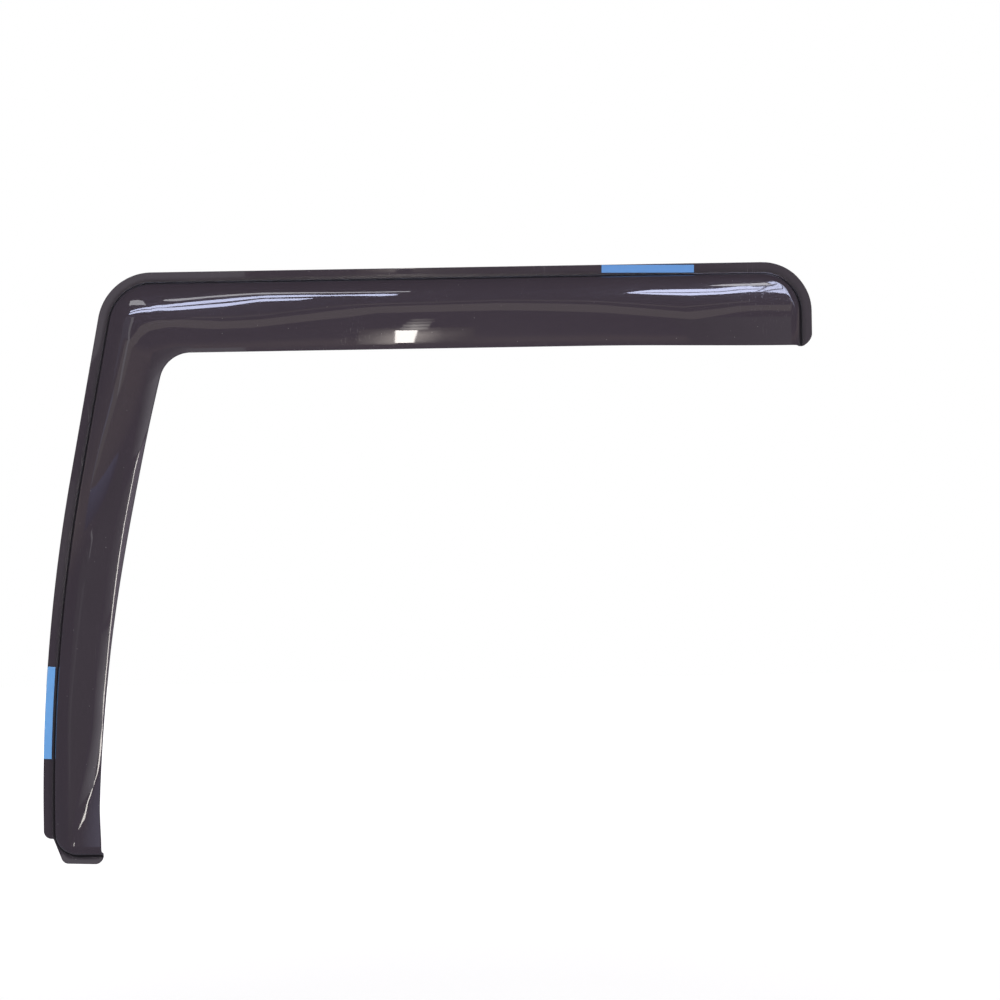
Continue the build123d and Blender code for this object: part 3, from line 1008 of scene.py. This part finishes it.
def add_floor(stage, tint):
    """Pale floor below the object: white to the camera where it is lit, and it keeps the shadow.

    Glossy faces mirror the dim room in its place, as they do in the photograph.
    """
    grid = np.linspace(-6, 6, 3)
    x, y = np.meshgrid(grid, grid, indexing="ij")
    floor = add_flat("floor", np.stack((x, y, np.full_like(x, stage.floor_z)), axis=-1))
    material, tree, shader = new_material("pale_floor", {
        "Base Color": tone(tint), "Roughness": 0.9, "Specular IOR Level": 0.1, "Emission Color": (1, 1, 1, 1),
    })
    where = node(tree, "TexCoord").outputs["Object"]
    away = node(tree, "VectorMath", {0: where}, operation="LENGTH").outputs["Value"]
    lift = mapped(tree, away, (1.0, 3.5), (0.45, 0.85))
    seen = node(tree, "LightPath").outputs["Is Camera Ray"]
    feed(tree, shader, {"Emission Strength": maths(tree, "MULTIPLY", seen, lift)})
    floor.data.materials.append(material)
    floor.visible_glossy = False


def add_room():
    """Room: white to the camera, soft to diffuse rays, and dim with a darker ceiling in reflections."""
    world = bpy.data.worlds.new("room")
    bpy.context.scene.world = world
    world.use_nodes = True
    tree = world.node_tree
    back = first_of(tree, "BACKGROUND")
    feed(tree, back, {"Color": (1, 1, 1, 1), "Strength": 1.0})
    soft = node(tree, "Background", {"Color": (0.98, 0.97, 1.0, 1), "Strength": 0.50})
    where = node(tree, "TexCoord").outputs["Generated"]
    height = node(tree, "SeparateXYZ", {"Vector": where}).outputs["Z"]
    wall = node(tree, "ValToRGB", {"Fac": mapped(tree, height, (-1.0, 1.0))})
    stops = (
        (0.0, (0.21, 0.20, 0.25)), (0.46, (0.23, 0.22, 0.27)), (0.54, (0.22, 0.20, 0.24)),
        (0.556, (0.46, 0.39, 0.38)), (0.572, (0.55, 0.46, 0.44)), (0.60, (0.23, 0.21, 0.26)),
        (0.85, (0.17, 0.16, 0.20)), (1.0, (0.07, 0.07, 0.09)),
    )
    elements = wall.color_ramp.elements
    while len(elements) < len(stops):
        elements.new(0.5)
    for element, (place, tint) in zip(elements, stops):
        element.position = place
        element.color = (*tint, 1)
    dim = node(tree, "Background", {"Color": wall.outputs["Color"], "Strength": 1.0})
    path = node(tree, "LightPath").outputs
    seen = maths(tree, "MAXIMUM", path["Is Camera Ray"], path["Is Transmission Ray"])
    lit = node(tree, "MixShader", {
        "Fac": path["Is Glossy Ray"], 1: soft.outputs["Background"], 2: dim.outputs["Background"],
    })
    shown = node(tree, "MixShader", {"Fac": seen, 1: lit.outputs["Shader"], 2: back.outputs["Background"]})
    feed(tree, first_of(tree, "OUTPUT_WORLD"), {"Surface": shown.outputs["Shader"]})


def add_lights():
    """Soft lamps for the body colour, and the cards that glossy faces mirror."""
    aim = (0.0, 0.0, -0.2)
    for name, place, size, radiance in (
        ("front_fill", (0.5, -3.6, -0.3), (2.4, 1.6), 6.1),
        ("top_fill", (-0.2, -0.6, 2.6), (2.6, 1.6), 0.9),
    ):
        lamp = add_lamp(name, place, aim, size, radiance, (1.0, 0.98, 0.97))
        lamp.visible_glossy = False
    add_skylights()
    add_ceiling()
    add_work_lamp()
    add_side_lights()


def add_skylights():
    """Rows of bright panes that the top arm's ridge mirrors: left, right and at the rear end."""
    add_card("skylight_left_low", (
        (-1.80, 1.06, 1.10), (-1.33, 1.065, 1.135), (-1.03, 1.075, 1.16), (-0.65, 1.235, 1.345),
        (-0.60, 1.26, 1.40), (-0.53, 1.35, 1.52), (-0.48, 1.53, 1.70), (-0.39, 1.56, 1.67),
        (-0.36, 1.65, 1.68),
    ), 19.0, DAY)
    add_card("skylight_left_high", (
        (-1.75, 1.13, 1.18), (-1.335, 1.165, 1.215), (-1.03, 1.185, 1.265), (-0.64, 1.37, 1.50),
        (-0.615, 1.435, 1.605), (-0.55, 1.58, 1.79), (-0.49, 1.77, 1.95), (-0.40, 1.78, 1.96),
        (-0.34, 1.80, 1.91), (-0.27, 1.80, 1.91), (-0.20, 1.74, 1.93), (-0.17, 1.78, 1.88),
    ), 19.0, DAY)
    add_card("skylight_left_end", (
        (-1.90, 1.45, 1.71), (-1.48, 1.37, 1.645), (-1.26, 1.35, 1.55), (-1.15, 1.33, 1.36),
    ), 6.0, PALE)
    add_card("skylight_left_line", (
        (-0.665, 1.73, 1.80), (-0.64, 1.69, 1.86), (-0.59, 1.89, 2.10), (-0.53, 2.08, 2.27),
        (-0.42, 2.12, 2.27), (-0.29, 2.09, 2.20), (-0.15, 2.08, 2.18),
    ), 7.5, PALE)
    for name, low, high in (("skylight_right_low", 0.0, 0.36), ("skylight_right_high", 0.46, 1.0)):
        add_card(name, [(x, foot + low * rise, foot + high * rise) for x, foot, rise in (
            (0.35, 1.69, 0.05), (0.41, 1.59, 0.32), (0.47, 1.52, 0.39), (0.53, 1.56, 0.32),
            (0.58, 1.65, 0.36), (0.605, 1.64, 0.39),
        )], 21.0, DAY)
    add_card("skylight_right_line", (
        (0.54, 2.13, 2.16), (0.57, 2.07, 2.24), (0.61, 2.05, 2.25), (0.65, 2.07, 2.30),
    ), 10.0, PALE)
    add_card("skylight_rear", (
        (0.605, 1.63, 1.97), (0.645, 1.51, 1.98), (0.66, 1.51, 2.38), (0.72, 1.52, 2.50),
        (1.05, 1.62, 2.80), (1.50, 1.70, 3.00),
    ), 18.0, DAY, fade=((1.0, 1.0), (1.0, 1.0), (1.0, 1.0), (0.95, 0.95), (0.75, 0.60), (0.50, 0.45)))
    add_card("skylight_rear_tail", (
        (1.00, 1.40, 1.60), (1.70, 1.45, 1.72), (2.80, 1.45, 1.75), (3.80, 1.10, 1.60),
    ), 7.0, DAY, fade=((0.5, 0.8), (0.5, 1.0), (0.2, 0.6), (0.1, 0.1)))
    add_card("rear_branch_low", (
        (0.585, 1.60, 1.63), (0.60, 1.71, 1.74), (0.623, 1.90, 1.96), (0.713, 2.40, 2.47),
    ), 3.0, DAY, depth=1.98)
    add_card("rear_branch_high", (
        (0.596, 1.61, 1.65), (0.622, 1.70, 1.75), (0.80, 2.04, 2.13), (1.174, 2.70, 2.82),
    ), 3.0, DAY, depth=1.98)


def add_ceiling():
    """Dim band and line of the ceiling, and the pale wall that the left flange mirrors."""
    add_card("ceiling_band", (
        (-3.40, 0.29, 0.33), (-2.80, 0.24, 0.38), (-2.10, 0.29, 0.40), (-1.85, 0.28, 0.42),
        (-1.68, 0.31, 0.48), (-1.42, 0.40, 0.61), (-1.29, 0.48, 0.71), (-1.03, 0.59, 0.79),
        (-0.83, 0.62, 0.84), (-0.65, 0.69, 0.90), (-0.57, 0.73, 0.94), (-0.50, 0.64, 0.84),
        (-0.43, 0.63, 0.84), (-0.35, 0.71, 0.93), (-0.24, 0.82, 1.10), (-0.19, 0.93, 1.17),
        (0.05, 0.95, 1.23), (0.26, 0.86, 1.13), (0.43, 0.70, 0.91), (0.488, 0.825, 1.00),
        (0.527, 0.925, 1.087), (0.56, 0.945, 1.11), (0.605, 0.92, 1.10), (1.20, 1.15, 1.40),
    ), 0.86, BROWN)
    add_card("ceiling_line", (
        (-0.56, 0.97, 1.00), (-0.50, 0.94, 0.97), (-0.43, 0.96, 0.99), (-0.31, 1.14, 1.17),
        (-0.24, 1.24, 1.28), (0.05, 1.34, 1.38), (0.26, 1.25, 1.29), (0.43, 1.04, 1.07),
        (0.56, 1.24, 1.27),
    ), 0.8, BROWN)
    add_card("rear_wall", ((-0.14, 0.42, 0.76), (0.90, 0.42, 0.76)), 1.0, PALE,
             depth=2.3, upright=True, fade=(0.23, 0.66))
    add_card("pale_wall", ((-1.15, 0.05, 0.385), (-0.62, 0.22, 0.385)), 1.0, PALE, depth=4.0)


def add_work_lamp():
    """Lamp mirrored as a small bright square, the haze on both sides of it and the blind above it."""
    add_card("work_lamp", ((0.425, -0.227, -0.178), (0.975, -0.230, -0.170)), 27.0, WARM,
             depth=4.0, upright=True)
    heights = (0.36, 0.43, 0.52, 0.73, 0.98, 1.10)
    for name, left, right, fade in (
        ("lamp_haze_far_left", -0.330, -0.288,
         ((0.3, 0.6), (0.9, 1.9), (1.05, 2.2), (0.75, 1.75), (0.4, 0.8), (0.25, 0.4))),
        ("lamp_haze_left", -0.288, -0.225,
         ((0.6, 1.5), (1.9, 5.0), (2.2, 5.8), (1.75, 5.2), (0.8, 2.4), (0.4, 0.8))),
        ("lamp_haze_right", -0.180, -0.104,
         ((0.8, 0.4), (2.5, 0.5), (4.5, 0.77), (6.0, 1.3), (2.2, 0.7), (0.9, 0.45))),
        ("lamp_haze_far_right", -0.104, -0.020,
         ((0.4, 0.3), (0.5, 0.35), (0.77, 0.38), (1.3, 0.42), (0.7, 0.35), (0.45, 0.3))),
    ):
        add_card(name, [(z, left, right) for z in heights], 1.0, BROWN, depth=4.05, upright=True, fade=fade)
    for slat, peak in enumerate((6.5, 5.8, 3.4, 1.8)):
        low = 1.0 + 0.14 * slat
        left = -0.220 + 0.008 * slat
        right = -0.143 + 0.004 * slat
        high = low + 0.11
        add_card(f"blind_left_{slat}", ((low, left, -0.18), (high, left, -0.18)), peak, WARM,
                 depth=4.0, upright=True, fade=(0.35, 1.0))
        add_card(f"blind_right_{slat}", ((low, -0.18, right), (high, -0.18, right)), peak, WARM,
                 depth=4.0, upright=True, fade=(1.0, 0.45))


def add_side_lights():
    """Side window, tube and glows that the front arm mirrors."""
    add_card("side_window_upper", (
        (0.95, -1.64, -1.52), (0.83, -1.68, -1.55), (0.53, -1.90, -1.76), (0.42, -1.97, -1.82),
        (0.35, -2.10, -1.96), (0.30, -2.12, -2.02),
    ), 1.6, PALE, depth=1.99, upright=True)
    add_card("side_window_band", ((1.03, -1.97, -1.60), (0.53, -2.50, -1.85), (0.44, -2.80, -1.90)), 0.5,
             (0.90, 0.90, 1.15), depth=1.995, upright=True)
    add_card("side_window_lower", ((-2.45, 0.36, 0.39), (-3.10, 0.34, 0.37), (-3.50, 0.29, 0.32)), 1.4, DAY,
             depth=1.99)
    add_card("side_blue", (
        (-1.45, -0.03, 0.012), (-1.72, -0.04, 0.035), (-2.10, -0.02, 0.08), (-2.68, 0.03, 0.16),
        (-3.40, 0.10, 0.28),
    ), 1.0, (0.55, 0.60, 1.0), fade=(0.3, 1.0))
    add_card("side_post_top", ((-0.04, -2.38, -2.30), (-0.095, -2.18, -2.10), (-0.15, -2.21, -2.15)),
             1.7, PALE, upright=True)
    add_card("side_post", (
        (-0.20, -2.48, -2.26), (-0.40, -2.65, -2.42), (-0.55, -2.85, -2.60), (-0.65, -2.80, -2.60),
    ), 0.55, PALE, upright=True)
    add_card("front_wall", [(z, -3.2, -1.05) for z in (-0.05, -0.15, -0.75, -0.90)], 1.0, PALE, depth=2.05,
             upright=True, fade=((0.24, 0.23), (0.36, 0.25), (0.38, 0.27), (0.24, 0.23)))
    middle = (
        (-0.207, -0.417), (-0.30, -0.462), (-0.36, -0.448), (-0.43, -0.408), (-0.52, -0.377),
        (-0.56, -0.388), (-0.61, -0.389), (-0.652, -0.352), (-0.701, -0.291), (-0.757, -0.237),
    )
    add_card("side_tube", [(z, x - 0.017, x + 0.017) for z, x in middle], 18.0, WARM,
             depth=1.2, upright=True)
    add_card("side_glow", [(z, x + 0.01, 0.30) for z, x in middle], 1.5, (0.93, 0.83, 1.0),
             depth=1.21, upright=True)
    add_card("side_haze", [(z, x - 0.30, x - 0.01) for z, x in middle if z > -0.47], 0.8, PALE,
             depth=1.21, upright=True, fade=(0.32, 1.0))
    add_card("side_haze_low", (
        (-0.40, -0.50, -0.40), (-0.44, -0.505, -0.395), (-0.486, -0.508, -0.395), (-0.53, -0.50, -0.385),
        (-0.60, -0.49, -0.37), (-0.62, -0.48, -0.36),
    ), 1.0, PALE, depth=0.4, upright=True,
        fade=((0.25, 0.9), (0.27, 1.5), (0.35, 2.2), (0.33, 2.1), (0.28, 1.8), (0.25, 1.5)))
    add_card("low_tube", (
        (-0.225, -0.763, -0.751), (-0.30, -0.776, -0.767), (-0.36, -0.774, -0.769),
        (-0.43, -0.7685, -0.7655), (-0.485, -0.768, -0.766),
    ), 18.0, WARM, depth=1.2)
    add_card("low_tube_end", ((-0.555, -0.785, -0.777), (-0.572, -0.785, -0.777)), 14.0, WARM, depth=1.2)
    add_card("edge_glow_far", (
        (-0.185, -0.448, -0.413), (-0.165, -0.448, -0.418), (-0.13, -0.455, -0.428), (-0.105, -0.462, -0.436),
        (-0.09, -0.465, -0.442), (-0.07, -0.462, -0.42), (-0.05, -0.45, -0.40), (-0.02, -0.44, -0.39),
    ), 1.0, PALE, depth=0.4, upright=True,
        fade=[(0.26, 0.62)] * 5 + [(0.30, 0.60), (0.25, 0.35), (0.23, 0.30)])
    add_card("edge_glow_near", (
        (-0.19, -0.413, -0.365), (-0.165, -0.418, -0.345), (-0.13, -0.428, -0.37), (-0.105, -0.436, -0.38),
        (-0.09, -0.442, -0.38), (-0.07, -0.42, -0.35), (-0.05, -0.40, -0.34), (-0.02, -0.39, -0.33),
    ), 1.0, PALE, depth=0.4, upright=True,
        fade=[(0.62, 1.5)] + [(0.62, 2.0)] * 4 + [(0.60, 1.2), (0.35, 0.75), (0.30, 0.45)])
    add_card("low_glow", ((-0.90, -0.38, 0.05), (-0.785, -0.38, 0.05)), 0.95, (0.85, 0.90, 1.25),
             depth=1.21, upright=True, fade=(0.25, 1.0))
    add_card("lip_glow", ((-0.68, -0.82, -0.786), (-0.585, -0.82, -0.784)), 1.2, PALE, depth=1.21)


class DEFLECTOR_OT_stage(Operator):
    """Set up floor, room, lamps and camera"""

    bl_idname = "deflector.stage"
    bl_label = "Stage"

    def execute(self, context):
        scene = context.scene
        stage = scene.deflector_stage
        scene.view_settings.view_transform = "Standard"
        add_floor(stage, scene.deflector_looks.floor)
        add_room()
        add_lights()
        camera = place_object("camera", bpy.data.cameras.new("camera"))
        camera.location = (stage.camera_x, stage.camera_y, stage.camera_z)
        camera.rotation_euler = (pi / 2, stage.roll, 0)
        camera.data.sensor_width = 36
        camera.data.lens = stage.lens
        camera.data.clip_end = 50
        scene.camera = camera
        return {"FINISHED"}


class DEFLECTOR_PT_panel(Panel):
    """Sidebar panel with the sizes, colours and building steps"""

    bl_idname = "DEFLECTOR_PT_panel"
    bl_label = "Window rain deflector"
    bl_space_type = "VIEW_3D"
    bl_region_type = "UI"
    bl_category = "Deflector"

    def draw(self, context):
        scene = context.scene
        for group in (scene.deflector_sizes, scene.deflector_looks, scene.deflector_stage):
            box = self.layout.box()
            for key in group.__annotations__:
                box.prop(group, key)
        for step in (DEFLECTOR_OT_visor, DEFLECTOR_OT_tapes, DEFLECTOR_OT_stage):
            self.layout.operator(step.bl_idname)


classes = (
    DeflectorSizes,
    DeflectorLooks,
    DeflectorStage,
    DEFLECTOR_OT_visor,
    DEFLECTOR_OT_tapes,
    DEFLECTOR_OT_stage,
    DEFLECTOR_PT_panel,
)


def register():
    for item in classes:
        bpy.utils.register_class(item)
    bpy.types.Scene.deflector_sizes = PointerProperty(type=DeflectorSizes)
    bpy.types.Scene.deflector_looks = PointerProperty(type=DeflectorLooks)
    bpy.types.Scene.deflector_stage = PointerProperty(type=DeflectorStage)


def unregister():
    del bpy.types.Scene.deflector_stage
    del bpy.types.Scene.deflector_looks
    del bpy.types.Scene.deflector_sizes
    for item in reversed(classes):
        bpy.utils.unregister_class(item)


def main():
    register()
    bpy.ops.deflector.visor()
    bpy.ops.deflector.tapes()
    bpy.ops.deflector.stage()


if __name__ == "__main__":
    main()
